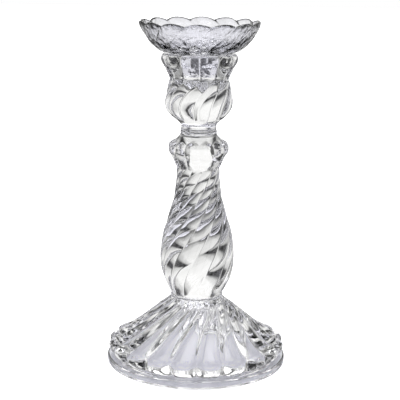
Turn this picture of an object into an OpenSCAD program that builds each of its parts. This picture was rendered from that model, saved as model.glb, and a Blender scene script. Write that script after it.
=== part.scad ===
// Pressed glass candlestick with a swirled foot, a ribbed stem, a tulip candle cup and a loose drip pan.
// Millimetres. The origin is the centre of the resting ring at table height, +Z is up, -Y is the front.
// Angles go anticlockwise seen from above, and every lobe and rib turns to the right as it rises.

/* [Foot] */
// Radius of the flange round the foot
foot_r = 60.3; // [50:0.1:72]
// Height of the foot, from the table to its neck
foot_h = 45.5; // [40:0.5:55]
// Lobes round the foot
foot_lobes = 20; // [16:1:26]
// Depth of the grooves between the lobes, at the toes
foot_groove = 5; // [1:0.1:6]
// Turn of the lobes from the toes to the neck, in degrees
foot_turn = 34; // [0:1:50]

/* [Stem] */
// Height of the stem between its two wafers
stem_h = 108.5; // [90:0.5:140]
// Radius of the stem at its belly
stem_r = 25; // [22:0.1:30]
// Ribs round the stem
stem_ribs = 12; // [10:1:18]
// Depth of the grooves between the ribs
stem_groove = 1.2; // [0.5:0.1:2.5]
// Turn of the ribs from the foot to the collar, in degrees
stem_turn = 136; // [0:1:220]
// Lobes round the stem's collar
collar_lobes = 12; // [8:1:16]

/* [Candle cup] */
// Height of the candle cup
cup_h = 49.8; // [45:0.1:60]
// Radius of the cup's lip
cup_r = 25.7; // [24:0.1:30]
// Lobes round the cup
cup_lobes = 12; // [8:1:16]
// Radius of the well in the cup
well_r = 13.4; // [13.2:0.1:15]
// Depth of the well below the lip
well_depth = 24.6; // [18:0.1:28]

/* [Drip pan] */
// Radius of the pan's scalloped rim
pan_r = 39.7; // [34:0.1:48]
// Height of the rim above the lip of the cup
pan_h = 21; // [17:0.1:26]
// Scallops round the rim
pan_scallops = 14; // [10:1:18]
// Radius of the bore that takes the candle
candle_bore_r = 11.3; // [10:0.1:11.5]
// Length of the pan's collar that drops into the well
pan_collar_h = 11; // [6:0.5:14]

/* [Joints] */
// Thickness of the wafer between the foot and the stem
foot_wafer_h = 2; // [1:0.1:4]
// Thickness of the wafer between the stem and the cup
neck_wafer_h = 2.5; // [1:0.1:4]
// Gap between the loose pan and the lip that it rests on
pan_gap = 0.2; // [0.1:0.05:0.5]

/* [Hidden] */
$fn = 96;
glass = [0.86, 0.88, 0.91, 0.55];
// Points across one lobe or rib
lobe_points = 6;

// Heights of the joints, from the table up
stem_z = foot_h + foot_wafer_h;
neck_z = stem_z + stem_h;
cup_z = neck_z + neck_wafer_h;
lip_z = cup_z + cup_h;
pan_z = lip_z + pan_gap;

// Flange of the foot: its thickness, its edge rounding and the inner radius of the resting ring
flange_h = 5.2;
flange_round = 1.6;
rest_r = foot_r - 6.8;
// Radii of the two wafers, a little proud of the necks that they join
foot_wafer_r = foot_r * 0.288;
neck_wafer_r = stem_r * 0.485;

// Outlines below are pairs of height and radius, as fractions of their part's height and radius.
// Foot from the flange over the toes to the neck
foot_outline = [[0.06, 0.8], [0.114, 0.86], [0.13, 0.905], [0.15, 0.935], [0.18, 0.963], [0.21, 0.978],
    [0.24, 0.985], [0.275, 0.987], [0.3, 0.981], [0.318, 0.966], [0.335, 0.938], [0.355, 0.9], [0.44, 0.795],
    [0.615, 0.62], [0.79, 0.468], [0.945, 0.318], [1, 0.285]];
// How deep the grooves are at each height, as a fraction of foot_groove, and how broad the crests are
foot_grooves = [[0.06, 0.3], [0.114, 0.6], [0.15, 0.9], [0.19, 1], [0.3, 1], [0.45, 0.85], [0.66, 0.6],
    [0.88, 0.3], [1, 0.05]];
foot_crest_power = 3;
// Height where the lobes of the foot start to turn, and how fast they turn from there
foot_turn_from = 0.26;
foot_turn_rate = 2.1;
foot_phase = 0.6;
// Hollow under the foot: down beside the lobes from a low dome to the resting ring
hollow_outline = [[0, 1], [0.1, 0.975], [0.24, 0.9], [0.37, 0.795], [0.53, 0.655], [0.69, 0.515], [0.82, 0.395],
    [0.92, 0.3], [1, 0.235]];
hollow_h = foot_h * 0.83;
hollow_dome_h = 0.8;

// Stem: belly, waist and the core that runs up inside the collar
stem_outline = [[0, 0.68], [0.05, 0.8], [0.12, 0.926], [0.2, 0.987], [0.265, 1], [0.34, 0.953], [0.41, 0.89],
    [0.52, 0.744], [0.63, 0.624], [0.69, 0.594], [0.78, 0.57], [1, 0.47]];
stem_grooves = [[0, 0.1], [0.03, 0.35], [0.1, 0.8], [0.28, 1], [0.5, 0.95], [0.68, 0.75], [0.85, 0.5], [1, 0]];
stem_phase = -28.5;
// The ribs turn ever faster, and have done their turn at the height where the collar begins
stem_turn_to = 0.8;
stem_turn_rate = 1.5;
// Collar, with heights as fractions of the stem and radii as fractions of the belly
collar_outline = [[0.745, 0.3], [0.775, 0.5], [0.805, 0.6], [0.84, 0.668], [0.875, 0.75], [0.9, 0.808],
    [0.925, 0.81], [0.945, 0.75], [0.963, 0.62], [1, 0.4]];
// Depth of the grooves between the collar's lobes, and its fraction at each height
collar_groove = 1.4;
collar_grooves = [[0.745, 1], [0.79, 0.75], [0.83, 0.25], [0.87, 0.4], [0.91, 1.1], [0.945, 1.6], [1, 1.6]];
collar_phase = 2.4;
collar_blend = 0.4;
// Smooth shoulder above the collar
shoulder_outline = [[0.92, 0.67], [0.945, 0.65], [0.963, 0.605], [0.975, 0.555], [0.988, 0.505], [1, 0.48]];

// Candle cup: short neck, bulb, waist and flared mouth
cup_outline = [[0, 0.46], [0.04, 0.447], [0.09, 0.495], [0.14, 0.6], [0.19, 0.72], [0.25, 0.81], [0.31, 0.858],
    [0.37, 0.872], [0.43, 0.864], [0.5, 0.838], [0.57, 0.802], [0.67, 0.77], [0.715, 0.79], [0.775, 0.85],
    [0.835, 0.905], [0.895, 0.973], [0.935, 1], [0.975, 0.98], [1, 0.935]];
cup_grooves = [[0, 0], [0.1, 0], [0.19, 0.7], [0.37, 1], [0.6, 0.85], [0.72, 0.75], [0.9, 1], [0.96, 0.9], [1, 0.55]];
cup_groove = 1.5;
cup_phase = -9.6;
cup_turn = 40;
cup_turn_from = 0.27;
cup_turn_to = 0.67;
// Well: flared mouth, straight wall and round bottom
well_flare_r = well_r + 1.6;
well_flare_h = 2.5;
well_round_h = 13;

// Drip pan: thickness of its hub, radius of the hub, wall of its collar
hub_h = 4;
hub_r = 21;
pan_collar_wall = 1.6;
// Pan wall in section, from inside the hub out along the underside, over the rim and back along the top.
// Each point is a radius, a height above the hub's underside and how much the scallops shape it.
pan_section = [[0.43, 0.06, 0], [0.53, 0.05, 0.15], [0.62, 0.075, 0.35], [0.705, 0.15, 0.55], [0.78, 0.255, 0.75],
    [0.846, 0.39, 0.9], [0.897, 0.535, 1], [0.942, 0.675, 1], [0.98, 0.805, 1], [0.998, 0.9, 1], [1, 0.955, 1],
    [0.988, 0.99, 1], [0.972, 1, 1], [0.95, 0.975, 1], [0.922, 0.87, 1], [0.882, 0.71, 1], [0.832, 0.56, 0.95],
    [0.77, 0.425, 0.8], [0.69, 0.315, 0.6], [0.6, 0.25, 0.4], [0.5, 0.2, 0.1], [0.43, 0.17, 0]];
pan_scallop_r = 1.7;
pan_scallop_h = 1.9;
pan_turn = 36;
pan_phase = 11;

// Cubic through a list of [position, value] pairs, which rises and falls only where the pairs do
function span(p, x, i = 0) = i >= len(p) - 2 || x < p[i + 1][0] ? i : span(p, x, i + 1);
function chord(p, i) = (p[i + 1][1] - p[i][1]) / (p[i + 1][0] - p[i][0]);
function slope(p, i) =
    i == 0 ? chord(p, 0)
    : i == len(p) - 1 ? chord(p, i - 1)
    : chord(p, i - 1) * chord(p, i) <= 0 ? 0
    : 2 * chord(p, i - 1) * chord(p, i) / (chord(p, i - 1) + chord(p, i));
function curve(p, x) =
    let (i = span(p, x), w = p[i + 1][0] - p[i][0], t = (x - p[i][0]) / w)
    (1 + 2 * t) * (1 - t) ^ 2 * p[i][1] + t * (1 - t) ^ 2 * w * slope(p, i)
    + t ^ 2 * (3 - 2 * t) * p[i + 1][1] - t ^ 2 * (1 - t) * w * slope(p, i + 1);

// Larger of two values, with the corner between them rounded over the width k
function blend(a, b, k) = let (h = max(0, min(1, 0.5 + (a - b) / k / 2))) b + (a - b) * h + k * h * (1 - h);

// Depth of a groove pattern: 1 in the grooves and 0 on the crests. A higher power gives broader crests.
function groove(turns, power = 2) = let (u = turns - floor(turns)) abs(2 * u - 1) ^ power;

function unit(x) = max(0, min(1, x));
function heights(z0, z1, steps) = [for (k = [0 : steps]) z0 + (z1 - z0) * k / steps];

// One ring of points at height z, with a radius for each angle; angle 0 is at the front
function ring(z, angles, radii) = [for (i = [0 : len(angles) - 1])
    [radii[i] * sin(angles[i]), -radii[i] * cos(angles[i]), z]];

// Quads between ring a and ring b of n points, each cut into two triangles
function band(a, b, n) = [for (i = [0 : n - 1]) let (j = (i + 1) % n)
    each [[a * n + i, b * n + i, b * n + j], [a * n + i, b * n + j, a * n + j]]];

// Closed solid through rings stacked from the bottom up
module loft(rings) {
    n = len(rings[0]);
    top = len(rings) - 1;
    sides = [for (k = [0 : top - 1]) each band(k, k + 1, n)];
    caps = [[for (i = [0 : n - 1]) i], [for (i = [n - 1 : -1 : 0]) top * n + i]];
    polyhedron([for (r = rings) each r], concat(caps, sides), convexity = 8);
}

// Closed loop of rings, for a wall with a hole through its middle
module loop_loft(rings) {
    n = len(rings[0]);
    m = len(rings);
    polyhedron([for (r = rings) each r], [for (k = [0 : m - 1]) each band(k, (k + 1) % m, n)], convexity = 8);
}

// Angles of the points round a ring of lobes that has turned by the angle turn
function lobe_angles(lobes, turn) = let (n = lobes * lobe_points) [for (i = [0 : n - 1]) turn + i * 360 / n];

function foot_twist(t) = foot_turn * unit((t - foot_turn_from) / (1 - foot_turn_from)) ^ foot_turn_rate;
function foot_ring(t) =
    let (a = lobe_angles(foot_lobes, foot_phase + foot_twist(t)), depth = foot_groove * curve(foot_grooves, t))
    ring(t * foot_h, a, [for (i = [0 : len(a) - 1])
        foot_r * curve(foot_outline, t) - depth * groove(i / lobe_points, foot_crest_power)]);

module flange() {
    r = foot_r - flange_round;
    rotate_extrude($fn = 192) {
        square([r, flange_h]);
        translate([0, flange_round]) square([foot_r, flange_h - 2 * flange_round]);
        for (z = [flange_round, flange_h - flange_round]) translate([r, z]) circle(flange_round, $fn = 32);
    }
}

module foot_hollow() {
    steps = heights(0, 1, 14);
    wall = [for (t = steps) [rest_r * curve(hollow_outline, t), hollow_h * t]];
    rotate_extrude($fn = 192) polygon(concat([[0, -1], [rest_r, -1]], wall, [[0, hollow_h + hollow_dome_h]]));
}

module foot() color(glass) difference() {
    union() {
        flange();
        loft([for (t = concat(heights(0.06, 0.36, 15), heights(0.42, 1, 11))) foot_ring(t)]);
    }
    foot_hollow();
}

// Round-edged disc of radius r between two sections that were joined hot
module wafer(r, h) rotate_extrude() {
    square([r - h / 2, h]);
    intersection() {
        translate([r - h / 2, h / 2]) circle(h / 2, $fn = 32);
        square([r, h]);
    }
}

module foot_wafer() color(glass) translate([0, 0, foot_h]) wafer(foot_wafer_r, foot_wafer_h);

module neck_wafer() color(glass) translate([0, 0, neck_z]) wafer(neck_wafer_r, neck_wafer_h);

function stem_twist(t) = stem_turn * unit(t / stem_turn_to) ^ stem_turn_rate;
function rib_radius(t, u) = stem_r * curve(stem_outline, t) - stem_groove * curve(stem_grooves, t) * groove(u);
function collar_radius(t, a) =
    let (depth = collar_groove * curve(collar_grooves, t))
    stem_r * curve(collar_outline, t) - depth * groove(collar_lobes * (a - collar_phase) / 360);
function stem_radius(t, u, a) =
    let (ribbed = rib_radius(t, u))
    let (lobed = t < collar_outline[0][0] ? ribbed : blend(ribbed, collar_radius(t, a), collar_blend))
    t < shoulder_outline[0][0] ? lobed : blend(lobed, stem_r * curve(shoulder_outline, t), collar_blend);
function stem_ring(t) =
    let (a = lobe_angles(stem_ribs, stem_phase + stem_twist(t)))
    ring(stem_z + t * stem_h, a, [for (i = [0 : len(a) - 1]) stem_radius(t, i / lobe_points, a[i])]);

module stem() color(glass)
    loft([for (t = concat(heights(0, 0.74, 25), heights(0.76, 1, 14))) stem_ring(t)]);

function cup_twist(t) = cup_turn * unit((t - cup_turn_from) / (cup_turn_to - cup_turn_from)) ^ 2;
function cup_ring(t) =
    let (a = lobe_angles(cup_lobes, cup_phase + cup_twist(t)), depth = cup_groove * curve(cup_grooves, t))
    ring(cup_z + t * cup_h, a, [for (i = [0 : len(a) - 1])
        cup_r * curve(cup_outline, t) - depth * groove(i / lobe_points)]);

module well() {
    round_z = lip_z - well_depth + well_round_h;
    flare_z = lip_z - well_flare_h;
    bottom = [for (q = [0 : 10 : 90]) [well_r * sin(q), round_z - well_round_h * cos(q)]];
    flare = [for (t = heights(0, 1, 5)) [well_r + (well_flare_r - well_r) * t ^ 2, flare_z + well_flare_h * t]];
    rotate_extrude($fn = 128) polygon(concat(bottom, flare, [[well_flare_r, lip_z + 1], [0, lip_z + 1]]));
}

module candle_cup() color(glass) difference() {
    loft([for (t = concat(heights(0, 0.16, 5), heights(0.19, 1, 26))) cup_ring(t)]);
    well();
}

function pan_point(p, i) =
    let (scallop = p[2] * groove(i / lobe_points), turn = pan_phase + pan_turn * (p[1] - 1))
    let (a = turn + i * 360 / (pan_scallops * lobe_points), r = pan_r * p[0] - pan_scallop_r * scallop)
    [r * sin(a), -r * cos(a), pan_z + pan_h * p[1] - pan_scallop_h * scallop];

module pan_hub() rotate_extrude($fn = 128) {
    translate([candle_bore_r, pan_z]) square([hub_r - candle_bore_r, hub_h]);
    translate([candle_bore_r, pan_z - pan_collar_h]) square([pan_collar_wall, pan_collar_h + 1]);
}

module drip_pan() color(glass) union() {
    pan_hub();
    loop_loft([for (p = pan_section) [for (i = [0 : pan_scallops * lobe_points - 1]) pan_point(p, i)]]);
}

foot();
foot_wafer();
stem();
neck_wafer();
candle_cup();
drip_pan();
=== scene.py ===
"""Pressed glass candlestick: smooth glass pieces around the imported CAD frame, on white in soft light.

Lengths are millimetres; MM turns them into metres. Angle 0 is the front (-Y), and angles go anticlockwise
seen from above. Outlines are the ones of the CAD part: pairs of height and radius, as fractions of their
part's height and radius. Grooves are pairs of height and a share of the part's groove depth.
"""
import math

import bpy
import numpy as np
from mathutils import Matrix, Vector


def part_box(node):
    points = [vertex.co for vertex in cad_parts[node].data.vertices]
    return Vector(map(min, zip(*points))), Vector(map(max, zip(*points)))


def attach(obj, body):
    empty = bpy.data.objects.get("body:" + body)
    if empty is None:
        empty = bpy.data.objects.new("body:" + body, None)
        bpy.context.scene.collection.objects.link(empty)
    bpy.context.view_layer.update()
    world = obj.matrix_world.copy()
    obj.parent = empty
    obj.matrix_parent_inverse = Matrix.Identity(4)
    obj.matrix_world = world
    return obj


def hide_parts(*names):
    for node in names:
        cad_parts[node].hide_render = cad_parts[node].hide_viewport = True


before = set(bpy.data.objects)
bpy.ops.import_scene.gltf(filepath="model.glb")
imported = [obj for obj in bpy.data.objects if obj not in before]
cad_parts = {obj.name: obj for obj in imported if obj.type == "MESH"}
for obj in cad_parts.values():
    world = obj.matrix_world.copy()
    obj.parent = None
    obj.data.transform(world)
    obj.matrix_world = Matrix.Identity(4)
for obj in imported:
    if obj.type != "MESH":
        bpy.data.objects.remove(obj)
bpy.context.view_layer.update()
MM = 0.001

# ---------------------------------------------------------------- camera
# Fitted to the outlines of the foot and of the rim, which are both round. The pitch and roll are degrees.
CAMERA_BACK = 756.9
CAMERA_UP = 282.65
CAMERA_PITCH = 12.7884
CAMERA_ROLL = 0.72
CAMERA_SHIFT = 0.0055
CAMERA_NEAR = 10
SENSOR = 36
FOCAL = 104.8734


def make_camera():
    """In front of the candlestick and a little above it, looking down at it."""
    data = bpy.data.cameras.new("camera")
    data.sensor_width = SENSOR
    data.lens = FOCAL
    data.shift_x = CAMERA_SHIFT
    data.clip_start = CAMERA_NEAR * MM
    camera = bpy.data.objects.new("camera", data)
    bpy.context.scene.collection.objects.link(camera)
    camera.location = (0, -CAMERA_BACK * MM, CAMERA_UP * MM)
    tilt = Matrix.Rotation(math.radians(90 - CAMERA_PITCH), 3, "X")
    roll = Matrix.Rotation(math.radians(CAMERA_ROLL), 3, "Z")
    camera.rotation_euler = (tilt @ roll).to_euler()
    bpy.context.scene.camera = camera


make_camera()


# ---------------------------------------------------------------- shape functions
def curve(pairs, x):
    """Cubic through [position, value] pairs, which rises and falls only where the pairs do."""
    p, v = np.array(pairs, float).T
    width = np.diff(p)
    chord = np.diff(v) / width
    slope = np.concatenate([chord[:1], np.zeros(len(p) - 2), chord[-1:]])
    a, b = chord[:-1], chord[1:]
    same = a * b > 0
    slope[1:-1][same] = (2 * a * b)[same] / (a + b)[same]
    x = np.asarray(x, float)
    i = np.clip(np.searchsorted(p, x, side="right") - 1, 0, len(p) - 2)
    t, w = (x - p[i]) / width[i], width[i]
    return (
        (1 + 2 * t) * (1 - t) ** 2 * v[i]
        + t * (1 - t) ** 2 * w * slope[i]
        + t**2 * (3 - 2 * t) * v[i + 1]
        - t**2 * (1 - t) * w * slope[i + 1]
    )


def blend(a, b, k):
    """Larger of two values, with the corner between them rounded over the width k."""
    h = np.clip(0.5 + (a - b) / k / 2, 0, 1)
    return b + (a - b) * h + k * h * (1 - h)


def groove(turns, valley=0.0, power=2):
    """1 in the grooves and 0 on the crests between them, which are broader the higher the power is.

    valley is the share of the width that the round bottom of a groove takes.
    """
    c = np.abs(2 * (turns - np.floor(turns)) - 1)
    if not valley:
        return c**power
    crest = 2 / ((1 - valley) ** (power - 1) * (power * valley + 2 * (1 - valley)))
    bottom = (1 - crest * (1 - valley) ** power) / valley**2
    return np.where(c < 1 - valley, crest * c**power, 1 - bottom * (1 - c) ** 2)


def unit(x):
    return np.clip(x, 0, 1)


def ring(z, angles, radii):
    """Points round the axis. The height and the radius are each one number, or one for every point."""
    a = np.radians(angles)
    return np.stack(np.broadcast_arrays(radii * np.sin(a), -radii * np.cos(a), z), -1)


def lobe_angles(lobes, points, turn):
    """Angles of that many points in each lobe, with the first lobe's groove at the angle turn."""
    n = lobes * points
    return turn + np.arange(n) * 360 / n


def lobe_turns(lobes, points):
    """Each of those points' place, as a number of lobes from the first groove."""
    return np.arange(lobes * points) / points


def to_mesh(name, rings, closed=False, caps=(False, False)):
    """A smooth-shaded piece from rings of points.

    closed joins the last ring to the first. caps closes the first and the last ring with a flat face.
    """
    rings = np.array(rings)
    m, n, _ = rings.shape
    index = np.arange(m * n).reshape(m, n)
    low = index if closed else index[:-1]
    high = np.roll(index, -1, 0) if closed else index[1:]
    quads = np.stack([low, np.roll(low, -1, 1), np.roll(high, -1, 1), high], -1).reshape(-1, 4).tolist()
    faces = quads + [list(index[0][::-1])] * caps[0] + [list(index[-1])] * caps[1]
    mesh = bpy.data.meshes.new(name)
    mesh.from_pydata((rings.reshape(-1, 3) * MM).tolist(), [], faces)
    mesh.polygons.foreach_set("use_smooth", [True] * len(quads) + [False] * (len(faces) - len(quads)))
    mesh.update()
    piece = bpy.data.objects.new(name, mesh)
    bpy.context.scene.collection.objects.link(piece)
    return piece


# ---------------------------------------------------------------- glass
GLASS_INDEX = 1.52
GLASS_BOUNCES = 32
WAVE_DETAIL = 1.5
WAVE_DEPTH = 1
THICK_GLASS_TINT = (1, 1, 1)
THICK_GLASS_WAVES = 0.05
THICK_GLASS_WAVE_SIZE = 9
PAN_GLASS_TINT = (0.91, 0.91, 0.95)
PAN_GLASS_WAVES = 0.7
PAN_GLASS_WAVE_SIZE = 4


def make_glass(name, tint, waves, wave_size):
    """Clear pressed glass: fire-polished, with the faint waviness that a mould leaves."""
    material = bpy.data.materials.new(name)
    material.use_nodes = True
    nodes, links = material.node_tree.nodes, material.node_tree.links
    shader = nodes["Principled BSDF"]
    shader.inputs["Base Color"].default_value = (*tint, 1)
    shader.inputs["Roughness"].default_value = 0
    shader.inputs["IOR"].default_value = GLASS_INDEX
    shader.inputs["Transmission Weight"].default_value = 1
    place = nodes.new("ShaderNodeTexCoord")
    noise = nodes.new("ShaderNodeTexNoise")
    noise.inputs["Scale"].default_value = 1 / (wave_size * MM)
    noise.inputs["Detail"].default_value = WAVE_DETAIL
    bump = nodes.new("ShaderNodeBump")
    bump.inputs["Strength"].default_value = waves
    bump.inputs["Distance"].default_value = WAVE_DEPTH * MM
    links.new(place.outputs["Object"], noise.inputs["Vector"])
    links.new(noise.outputs["Fac"], bump.inputs["Height"])
    links.new(bump.outputs["Normal"], shader.inputs["Normal"])
    return material


def make_seam():
    """The inside of a hot joint, where two sections are one glass and light passes straight on."""
    material = bpy.data.materials.new("joined_glass")
    material.use_nodes = True
    nodes, links = material.node_tree.nodes, material.node_tree.links
    nodes.remove(nodes["Principled BSDF"])
    clear = nodes.new("ShaderNodeBsdfTransparent")
    links.new(clear.outputs["BSDF"], nodes["Material Output"].inputs["Surface"])
    return material


glass = make_glass("clear_glass", THICK_GLASS_TINT, THICK_GLASS_WAVES, THICK_GLASS_WAVE_SIZE)
pan_glass = make_glass("clear_pan_glass", PAN_GLASS_TINT, PAN_GLASS_WAVES, PAN_GLASS_WAVE_SIZE)
seam = make_seam()


def finish_piece(piece, node, body, seam_faces=()):
    """Gives a piece its glass and its place in the frame. seam_faces are the faces inside a hot joint."""
    piece.data.materials.append(pan_glass if body == "pan" else glass)
    piece.data.materials.append(seam)
    for face in seam_faces:
        piece.data.polygons[face].material_index = 1
    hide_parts(node)
    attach(piece, body)


# ---------------------------------------------------------------- foot
# The flange lies on its resting ring, and from its top the lobes rise to the neck. The toes are the lobes'
# round lower ends. The lobes run straight up to FOOT_TURN_START and turn more and more above it.
FOOT_R = 60.3
FOOT_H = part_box("foot")[1].z / MM
FOOT_LOBES = 20
FOOT_LOBE_POINTS = 20
FOOT_GROOVE = 5
FOOT_VALLEY = 0.1
FOOT_CREST_POWER = 3
FOOT_TURN = 34
FOOT_TURN_START = 0.26
FOOT_TURN_POWER = 2.1
FOOT_PHASE = 0.6
FOOT_OUTLINE = [
    [0.06, 0.8], [0.114, 0.86], [0.13, 0.905], [0.15, 0.935], [0.18, 0.963], [0.21, 0.978], [0.24, 0.985],
    [0.275, 0.987], [0.3, 0.981], [0.318, 0.966], [0.335, 0.938], [0.355, 0.9], [0.44, 0.795],
    [0.615, 0.62], [0.79, 0.468], [0.945, 0.318], [1, 0.285],
]
FOOT_GROOVES = [
    [0.06, 0.3], [0.114, 0.6], [0.15, 0.9], [0.19, 1], [0.3, 1], [0.45, 0.85], [0.66, 0.6], [0.88, 0.3],
    [1, 0.05],
]
TOE_TOP = 0.36
TOE_RINGS = 52
SLOPE_RINGS = 88
RING_GAP = 0.006
HOLLOW_OUTLINE = [
    [0, 1], [0.1, 0.975], [0.24, 0.9], [0.37, 0.795], [0.53, 0.655], [0.69, 0.515], [0.82, 0.395],
    [0.92, 0.3], [1, 0.235],
]
HOLLOW_H = FOOT_H * 0.83
HOLLOW_RINGS = 60
HOLLOW_DOME_H = 0.8
HOLLOW_DOME_STEPS = np.linspace(0.02, 0.98, 8)
FLANGE_H = 5.2
FLANGE_ROUND = 1.6
FLANGE_EDGE_RINGS = 9
REST_R = FOOT_R - 6.8
REST_RINGS = 4
REST_MARGIN = 0.2
TOE_FILLET = 0.4


def hollow_path():
    """Heights and radii from the top of the hollow, under a shallow dome, down to the resting ring."""
    dome_r = REST_R * HOLLOW_OUTLINE[-1][1]
    dome = [(HOLLOW_H + HOLLOW_DOME_H * (1 - s * s), dome_r * s) for s in HOLLOW_DOME_STEPS]
    wall = [(HOLLOW_H * t, REST_R * curve(HOLLOW_OUTLINE, t)) for t in np.linspace(1, 0, HOLLOW_RINGS)]
    return dome + wall


def flange_path():
    """Heights and radii across the resting ring and round the flange's edge to its top."""
    rest = np.linspace(REST_R + REST_MARGIN, FOOT_R - FLANGE_ROUND - REST_MARGIN, REST_RINGS)
    low = [
        (FLANGE_ROUND * (1 + math.sin(q)), FOOT_R - FLANGE_ROUND * (1 - math.cos(q)))
        for q in np.radians(np.linspace(-90, 0, FLANGE_EDGE_RINGS))
    ]
    return [(0, r) for r in rest] + low + [(FLANGE_H - z, r) for z, r in low[::-1]]


def foot_radii(t):
    lobes = groove(lobe_turns(FOOT_LOBES, FOOT_LOBE_POINTS), FOOT_VALLEY, FOOT_CREST_POWER)
    return FOOT_R * curve(FOOT_OUTLINE, t) - FOOT_GROOVE * curve(FOOT_GROOVES, t) * lobes


def foot_twist(t):
    return FOOT_TURN * unit((t - FOOT_TURN_START) / (1 - FOOT_TURN_START)) ** FOOT_TURN_POWER


def make_foot():
    start = lobe_angles(FOOT_LOBES, FOOT_LOBE_POINTS, FOOT_PHASE)
    flange_top = FLANGE_H / FOOT_H
    toes = np.linspace(flange_top, TOE_TOP, TOE_RINGS)
    slope = np.linspace(TOE_TOP + RING_GAP, 1, SLOPE_RINGS)
    rings = [ring(z, start, r) for z, r in hollow_path() + flange_path()]
    rings.append(ring(FLANGE_H, start, foot_radii(flange_top) + TOE_FILLET))
    rings += [ring(t * FOOT_H, start + foot_twist(t), foot_radii(t)) for t in [*toes, *slope]]
    piece = to_mesh("foot_glass", rings, caps=(True, True))
    faces = len(piece.data.polygons)
    finish_piece(piece, "foot", "candlestick", [faces - 1])


# ---------------------------------------------------------------- wafers
WAFER_POINTS = 192
WAFER_RINGS = 15


def make_wafer(name, node, radius):
    """Thin disc between two sections, with a fully round edge."""
    low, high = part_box(node)
    z0, edge_r = low.z / MM, (high - low).z / MM / 2
    angles = lobe_angles(1, WAFER_POINTS, 0)
    rings = [
        ring(z0 + edge_r * (1 + math.sin(q)), angles, radius - edge_r * (1 - math.cos(q)))
        for q in np.radians(np.linspace(-90, 90, WAFER_RINGS))
    ]
    piece = to_mesh(name, rings, caps=(True, True))
    faces = len(piece.data.polygons)
    finish_piece(piece, node, "candlestick", [faces - 2, faces - 1])


# ---------------------------------------------------------------- stem
# Ribbed baluster. Near its top a lobed collar stands out of it, which a plain round shoulder closes.
STEM_R = 25
STEM_RINGS = 240
STEM_RIBS = 12
STEM_RIB_POINTS = 32
STEM_GROOVE = 1.2
STEM_TURN = 136
STEM_TURN_END = 0.8
STEM_TURN_POWER = 1.5
STEM_PHASE = -28.5
STEM_OUTLINE = [
    [0, 0.68], [0.05, 0.8], [0.12, 0.926], [0.2, 0.987], [0.265, 1], [0.34, 0.953], [0.41, 0.89],
    [0.52, 0.744], [0.63, 0.624], [0.69, 0.594], [0.78, 0.57], [1, 0.47],
]
STEM_VALLEY = 0.06
STEM_GROOVES = [
    [0, 0.1], [0.03, 0.35], [0.1, 0.8], [0.28, 1], [0.5, 0.95], [0.68, 0.75], [0.85, 0.5], [1, 0],
]
COLLAR_LOBES = 12
COLLAR_OUTLINE = [
    [0.745, 0.3], [0.775, 0.5], [0.805, 0.6], [0.84, 0.668], [0.875, 0.75], [0.9, 0.808],
    [0.925, 0.81], [0.945, 0.75], [0.963, 0.62], [1, 0.4],
]
COLLAR_GROOVE = 1.4
COLLAR_GROOVES = [[0.745, 1], [0.79, 0.75], [0.83, 0.25], [0.87, 0.4], [0.91, 1.1], [0.945, 1.6], [1, 1.6]]
COLLAR_PHASE = 2.4
COLLAR_BLEND = 0.4
SHOULDER_OUTLINE = [[0.92, 0.67], [0.945, 0.65], [0.963, 0.605], [0.975, 0.555], [0.988, 0.505], [1, 0.48]]


def make_stem():
    low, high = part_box("stem")
    z0, h = low.z / MM, (high - low).z / MM
    ribs = groove(lobe_turns(STEM_RIBS, STEM_RIB_POINTS), STEM_VALLEY)
    rings = []
    for t in np.linspace(0, 1, STEM_RINGS):
        turn = STEM_TURN * unit(t / STEM_TURN_END) ** STEM_TURN_POWER
        angles = lobe_angles(STEM_RIBS, STEM_RIB_POINTS, STEM_PHASE + turn)
        radii = STEM_R * curve(STEM_OUTLINE, t) - STEM_GROOVE * curve(STEM_GROOVES, t) * ribs
        if t >= COLLAR_OUTLINE[0][0]:
            lobes = groove(COLLAR_LOBES * (angles - COLLAR_PHASE) / 360)
            lobed = STEM_R * curve(COLLAR_OUTLINE, t) - COLLAR_GROOVE * curve(COLLAR_GROOVES, t) * lobes
            radii = blend(radii, lobed, COLLAR_BLEND)
        if t >= SHOULDER_OUTLINE[0][0]:
            radii = blend(radii, STEM_R * curve(SHOULDER_OUTLINE, t), COLLAR_BLEND)
        rings.append(ring(z0 + t * h, angles, radii))
    piece = to_mesh("stem_glass", rings, caps=(True, True))
    faces = len(piece.data.polygons)
    finish_piece(piece, "stem", "candlestick", [faces - 2, faces - 1])


# ---------------------------------------------------------------- candle cup
# Short neck, lobed tulip and flared mouth. The well inside it is round and flares a little at the lip.
CUP_R = 25.7
CUP_RINGS = 150
CUP_LOBES = 12
CUP_LOBE_POINTS = 28
CUP_GROOVE = 1.5
CUP_PHASE = -9.6
CUP_TURN = 40
CUP_TURN_START = 0.27
CUP_TURN_SPAN = 0.4
CUP_OUTLINE = [
    [0, 0.46], [0.04, 0.447], [0.09, 0.495], [0.14, 0.6], [0.19, 0.72], [0.25, 0.81], [0.31, 0.858],
    [0.37, 0.872], [0.43, 0.864], [0.5, 0.838], [0.57, 0.802], [0.67, 0.77], [0.715, 0.79], [0.775, 0.85],
    [0.835, 0.905], [0.895, 0.973], [0.935, 1], [0.975, 0.98], [1, 0.935],
]
CUP_GROOVES = [
    [0, 0], [0.1, 0], [0.19, 0.7], [0.37, 1], [0.6, 0.85], [0.72, 0.75], [0.9, 1], [0.96, 0.9], [1, 0.55],
]
CUP_VALLEY = 0.06
WELL_R = 13.4
WELL_DEPTH = 24.6
WELL_ROUND_H = 13
WELL_FLARE_R = 15
WELL_FLARE_H = 2.5
WELL_FLARE_RINGS = 16
WELL_ROUND_RINGS = 30


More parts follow.
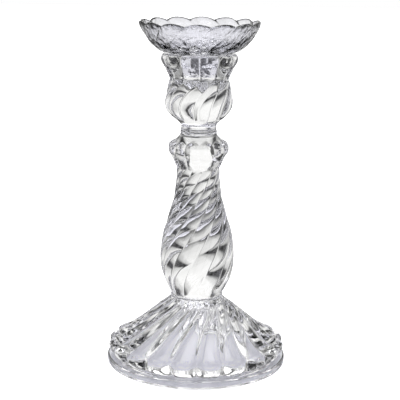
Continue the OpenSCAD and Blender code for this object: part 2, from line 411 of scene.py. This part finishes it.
def well_path(lip):
    """Heights and radii from the lip down the well to the middle of its round bottom."""
    flare = [
        (lip - WELL_FLARE_H * (1 - t), WELL_R + (WELL_FLARE_R - WELL_R) * t**2)
        for t in np.linspace(1, 0, WELL_FLARE_RINGS)
    ]
    round_z = lip - WELL_DEPTH + WELL_ROUND_H
    bottom = [
        (round_z - WELL_ROUND_H * math.sin(q), WELL_R * math.cos(q))
        for q in np.radians(np.linspace(0, 89, WELL_ROUND_RINGS))
    ]
    return flare + bottom


def make_cup():
    low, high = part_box("candle_cup")
    z0, lip = low.z / MM, high.z / MM
    lobes = groove(lobe_turns(CUP_LOBES, CUP_LOBE_POINTS), CUP_VALLEY)
    rings = []
    for t in np.linspace(0, 1, CUP_RINGS):
        turn = CUP_TURN * unit((t - CUP_TURN_START) / CUP_TURN_SPAN) ** 2
        angles = lobe_angles(CUP_LOBES, CUP_LOBE_POINTS, CUP_PHASE + turn)
        radii = CUP_R * curve(CUP_OUTLINE, t) - CUP_GROOVE * curve(CUP_GROOVES, t) * lobes
        rings.append(ring(z0 + t * (lip - z0), angles, radii))
    rings += [ring(z, angles, r) for z, r in well_path(lip)]
    piece = to_mesh("cup_glass", rings, caps=(True, True))
    faces = len(piece.data.polygons)
    finish_piece(piece, "candle_cup", "candlestick", [faces - 2])


# ---------------------------------------------------------------- drip pan
# The section is one closed path round the pan's wall: down the candle's bore, round the collar that hangs in
# the well, out along the seat on the cup's lip, up the outside, over the rim, down into the dish and over the
# hub round the bore. PAN_SECTION gives each point's radius as a fraction of PAN_R, its height above the seat
# as a fraction of PAN_H, and its share of the scallops' depth. HUB_SECTION gives a radius and how far the
# point lies above the hub's top, as a fraction of PAN_H.
PAN_R = 39.7
PAN_H = 21
PAN_SCALLOPS = 14
PAN_SCALLOP_POINTS = 24
PAN_TURN = 36
PAN_PHASE = 11
PAN_SCALLOP_R = 1.7
PAN_SCALLOP_H = 1.9
PAN_COLLAR_H = 11
PAN_COLLAR_WALL = 1.6
PAN_COLLAR_ROUND = 0.4
PAN_COLLAR_ROUND_MID = 0.12
CANDLE_BORE_R = 11.3
BORE_RINGS = 14
COLLAR_RINGS = 12
SEAT_RADII = (16, 18.5)
HUB_H = 4
HUB_ROUND = 0.8
HUB_SECTION = [(16, 0.005), (13.4, 0), (12.2, -0.006), (11.6, -0.018)]
PAN_SECTION = [
    [0.53, 0.05, 0.15], [0.62, 0.075, 0.35], [0.705, 0.15, 0.55], [0.78, 0.255, 0.75], [0.846, 0.39, 0.9],
    [0.897, 0.535, 1], [0.942, 0.675, 1], [0.98, 0.805, 1], [0.998, 0.9, 1], [1, 0.955, 1],
    [0.988, 0.99, 1], [0.972, 1, 1], [0.95, 0.975, 1], [0.922, 0.87, 1], [0.882, 0.71, 1],
    [0.832, 0.56, 0.95], [0.77, 0.425, 0.8], [0.69, 0.315, 0.6], [0.6, 0.25, 0.4], [0.5, 0.2, 0.1],
]
PAN_RINGS = 110
PATH_STEPS = 12


def smooth_path(points, steps):
    """Even steps along a Catmull-Rom curve through the points of the pan's section."""
    p = np.array(points, float)
    p = np.concatenate([[2 * p[0] - p[1]], p, [2 * p[-1] - p[-2]]])
    fine = []
    for a, b, c, d in zip(p, p[1:], p[2:], p[3:]):
        for t in np.linspace(0, 1, PATH_STEPS, endpoint=False):
            bend = (2 * a - 5 * b + 4 * c - d) * t**2 + (3 * b - a - 3 * c + d) * t**3
            fine.append((2 * b + (c - a) * t + bend) / 2)
    fine = np.array(fine + [p[-2]])
    legs = np.diff(fine[:, :2], axis=0) * (PAN_R, PAN_H)
    run = np.concatenate([[0], np.cumsum(np.hypot(*legs.T))])
    even = np.linspace(0, run[-1], steps)
    return np.stack([np.interp(even, run, fine[:, k]) for k in range(fine.shape[1])], -1)


def bore_and_collar():
    """Radii and heights above the seat: down the bore, round the collar's edge and out along the seat."""
    low = -PAN_COLLAR_H
    out = CANDLE_BORE_R + PAN_COLLAR_WALL
    edge, mid = PAN_COLLAR_ROUND, PAN_COLLAR_ROUND_MID
    path = [(CANDLE_BORE_R, z) for z in np.linspace(HUB_H - HUB_ROUND, low + edge, BORE_RINGS)]
    path += [(CANDLE_BORE_R + mid, low + mid), (CANDLE_BORE_R + edge, low)]
    path += [(out - edge, low), (out - mid, low + mid)]
    path += [(out, z) for z in np.linspace(low + edge, -edge, COLLAR_RINGS)]
    path += [(out + edge / 4, -edge / 4), (out + edge, 0)]
    return path + [(r, 0) for r in SEAT_RADII]


def make_pan():
    seat_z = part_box("drip_pan")[0].z / MM + PAN_COLLAR_H
    section = [(r / PAN_R, z / PAN_H, 0) for r, z in bore_and_collar()]
    section += [*smooth_path(PAN_SECTION, PAN_RINGS)]
    section += [(r / PAN_R, HUB_H / PAN_H + rise, 0) for r, rise in HUB_SECTION]
    scallops = groove(lobe_turns(PAN_SCALLOPS, PAN_SCALLOP_POINTS))
    rings = []
    for r, z, share in section:
        angles = lobe_angles(PAN_SCALLOPS, PAN_SCALLOP_POINTS, PAN_PHASE + PAN_TURN * (z - 1))
        heights = seat_z + PAN_H * z - PAN_SCALLOP_H * share * scallops
        rings.append(ring(heights, angles, PAN_R * r - PAN_SCALLOP_R * share * scallops))
    piece = to_mesh("pan_glass", rings, closed=True)
    finish_piece(piece, "drip_pan", "pan")


FOOT_WAFER_R = FOOT_R * 0.288
NECK_WAFER_R = STEM_R * 0.485
make_foot()
make_wafer("foot_wafer_glass", "foot_wafer", FOOT_WAFER_R)
make_stem()
make_wafer("neck_wafer_glass", "neck_wafer", NECK_WAFER_R)
make_cup()
make_pan()

# ---------------------------------------------------------------- studio
WHITE = (1, 1, 1)
COOL = (0.93, 0.93, 1)
WARM = (1, 1, 0.985)
FLOOR_REACH = 4000
FLOOR_DROP = 0.3
FLOOR_GREY = 0.95
# Brightness of the table top below the glass, by distance from the axis. This is painted light and shade: a
# bright pool under the foot, a dark ring further out, and lighter again towards the edge.
TABLE_R = 140
TABLE_POINTS = 96
TABLE_DROP = 0.6
TABLE_PAINTED_LIGHT_AND_SHADE = [[0, 1], [58, 1], [68, 0.7], [80, 0.32], [95, 0.25], [112, 0.7], [TABLE_R, 0.95]]
# Brightness of the studio by direction, as pairs of a direction's component and a level. Dark flags stand
# round the candlestick, two behind it on each side that it is seen from, to draw the edges of the glass.
FLAGS_ACROSS = [
    [-1, 1], [-0.7, 1], [-0.55, 0.7], [-0.48, 0.03], [-0.4, 0.03], [-0.32, 0.7], [-0.24, 1],
    [0.24, 1], [0.32, 0.7], [0.4, 0.03], [0.48, 0.03], [0.55, 0.7], [0.7, 1], [1, 1],
]
FLAGS_ALONG = [
    [-1, 1], [-0.6, 1], [-0.5, 0.3], [-0.4, 0.3], [-0.3, 1],
    [0.3, 1], [0.4, 0.3], [0.5, 0.3], [0.6, 1], [1, 1],
]
BEHIND_UP = [
    [-1, 0.8], [-0.85, 0.7], [-0.74, 0.3], [-0.66, 0.15], [-0.54, 0.17], [-0.44, 0.5], [-0.36, 0.75],
    [-0.13, 0.92], [0, 1], [0.6, 1], [0.8, 2.6], [1, 3.2],
]
FRONT_UP = [[-1, 0.95], [0.6, 0.95], [0.8, 2.6], [1, 3.2]]
FRONT_TO_BACK = [[-0.3, 0], [0.2, 1]]
# A mix node's sockets for colours, which share their names with those for numbers.
MIX_A, MIX_B, MIX_RESULT = 6, 7, 2


def gradient(tree, value, stops, tint=WHITE):
    """Tinted grey that follows pairs of a value and a level, eased between them."""
    low, high = stops[0][0], stops[-1][0]
    place = tree.nodes.new("ShaderNodeMapRange")
    place.inputs["From Min"].default_value = low
    place.inputs["From Max"].default_value = high
    tree.links.new(value, place.inputs["Value"])
    ramp = tree.nodes.new("ShaderNodeValToRGB")
    ramp.color_ramp.interpolation = "EASE"
    tree.links.new(place.outputs["Result"], ramp.inputs["Fac"])
    elements = ramp.color_ramp.elements
    elements.remove(elements[0])
    elements[0].position = 0
    for position, level in stops[1:]:
        elements.new((position - low) / (high - low))
    for element, (position, level) in zip(elements, stops):
        element.color = (*(level * c for c in tint), 1)
    return ramp.outputs["Color"]


def mix_colors(tree, a, b):
    mix = tree.nodes.new("ShaderNodeMix")
    mix.data_type = "RGBA"
    tree.links.new(a, mix.inputs[MIX_A])
    tree.links.new(b, mix.inputs[MIX_B])
    return mix


def product(tree, a, b):
    mix = mix_colors(tree, a, b)
    mix.blend_type = "MULTIPLY"
    mix.inputs["Factor"].default_value = 1
    return mix.outputs[MIX_RESULT]


def stage_piece(name, outline, drop):
    """Flat matt sheet that far below the candlestick's foot."""
    mesh = bpy.data.meshes.new(name)
    mesh.from_pydata([(x * MM, y * MM, -drop * MM) for x, y in outline], [], [list(range(len(outline)))])
    piece = bpy.data.objects.new(name, mesh)
    bpy.context.scene.collection.objects.link(piece)
    material = bpy.data.materials.new(name)
    material.use_nodes = True
    mesh.materials.append(material)
    shader = material.node_tree.nodes["Principled BSDF"]
    shader.inputs["Roughness"].default_value = 1
    shader.inputs["Specular IOR Level"].default_value = 0
    piece.visible_diffuse = False
    return piece, material.node_tree, shader


def make_floor():
    """White paper sweep, as the camera sees it past the glass."""
    outline = [(x * FLOOR_REACH, y * FLOOR_REACH) for x, y in ((-1, -1), (1, -1), (1, 1), (-1, 1))]
    floor, _, shader = stage_piece("floor", outline, FLOOR_DROP)
    shader.inputs["Base Color"].default_value = (FLOOR_GREY, FLOOR_GREY, FLOOR_GREY, 1)
    shader.inputs["Emission Color"].default_value = (*WHITE, 1)
    shader.inputs["Emission Strength"].default_value = 1
    floor.visible_transmission = False
    floor.visible_glossy = False
    floor.visible_shadow = False


def make_table():
    """The table as it is seen through the glass, with painted light and shade in its colour: bright under the
    foot, darker further out and lighter again at its edge.
    """
    turn = np.linspace(0, 2 * math.pi, TABLE_POINTS, endpoint=False)
    outline = [(TABLE_R * math.cos(a), TABLE_R * math.sin(a)) for a in turn]
    table, tree, shader = stage_piece("table", outline, TABLE_DROP)
    place = tree.nodes.new("ShaderNodeTexCoord")
    distance = tree.nodes.new("ShaderNodeVectorMath")
    distance.operation = "LENGTH"
    tree.links.new(place.outputs["Object"], distance.inputs[0])
    stops = [[d * MM, level] for d, level in TABLE_PAINTED_LIGHT_AND_SHADE]
    # Painted light and shade: the table's colour follows the distance from the axis, not any lamp.
    painted_light_and_shade = gradient(tree, distance.outputs["Value"], stops, COOL)
    tree.links.new(painted_light_and_shade, shader.inputs["Base Color"])
    table.visible_camera = False


def make_world():
    """Soft studio light all round, and plain white behind the candlestick."""
    world = bpy.data.worlds.new("studio")
    bpy.context.scene.world = world
    world.use_nodes = True
    tree = world.node_tree
    studio = tree.nodes["Background"]
    place = tree.nodes.new("ShaderNodeTexCoord")
    split = tree.nodes.new("ShaderNodeSeparateXYZ")
    tree.links.new(place.outputs["Generated"], split.inputs["Vector"])
    across, along, up = split.outputs
    flags = product(tree, gradient(tree, across, FLAGS_ACROSS), gradient(tree, along, FLAGS_ALONG))
    front = product(tree, flags, gradient(tree, up, FRONT_UP, COOL))
    behind = product(tree, flags, gradient(tree, up, BEHIND_UP, WARM))
    mix = mix_colors(tree, front, behind)
    tree.links.new(gradient(tree, along, FRONT_TO_BACK), mix.inputs["Factor"])
    tree.links.new(mix.outputs[MIX_RESULT], studio.inputs["Color"])
    backdrop = tree.nodes.new("ShaderNodeBackground")
    backdrop.inputs["Color"].default_value = (*WHITE, 1)
    seen = tree.nodes.new("ShaderNodeLightPath")
    choice = tree.nodes.new("ShaderNodeMixShader")
    tree.links.new(seen.outputs["Is Camera Ray"], choice.inputs["Fac"])
    tree.links.new(studio.outputs["Background"], choice.inputs[1])
    tree.links.new(backdrop.outputs["Background"], choice.inputs[2])
    tree.links.new(choice.outputs["Shader"], tree.nodes["World Output"].inputs["Surface"])


make_floor()
make_table()
make_world()
scene = bpy.context.scene
scene.view_settings.view_transform = "Standard"
scene.cycles.max_bounces = GLASS_BOUNCES
scene.cycles.transmission_bounces = GLASS_BOUNCES
scene.cycles.transparent_max_bounces = GLASS_BOUNCES
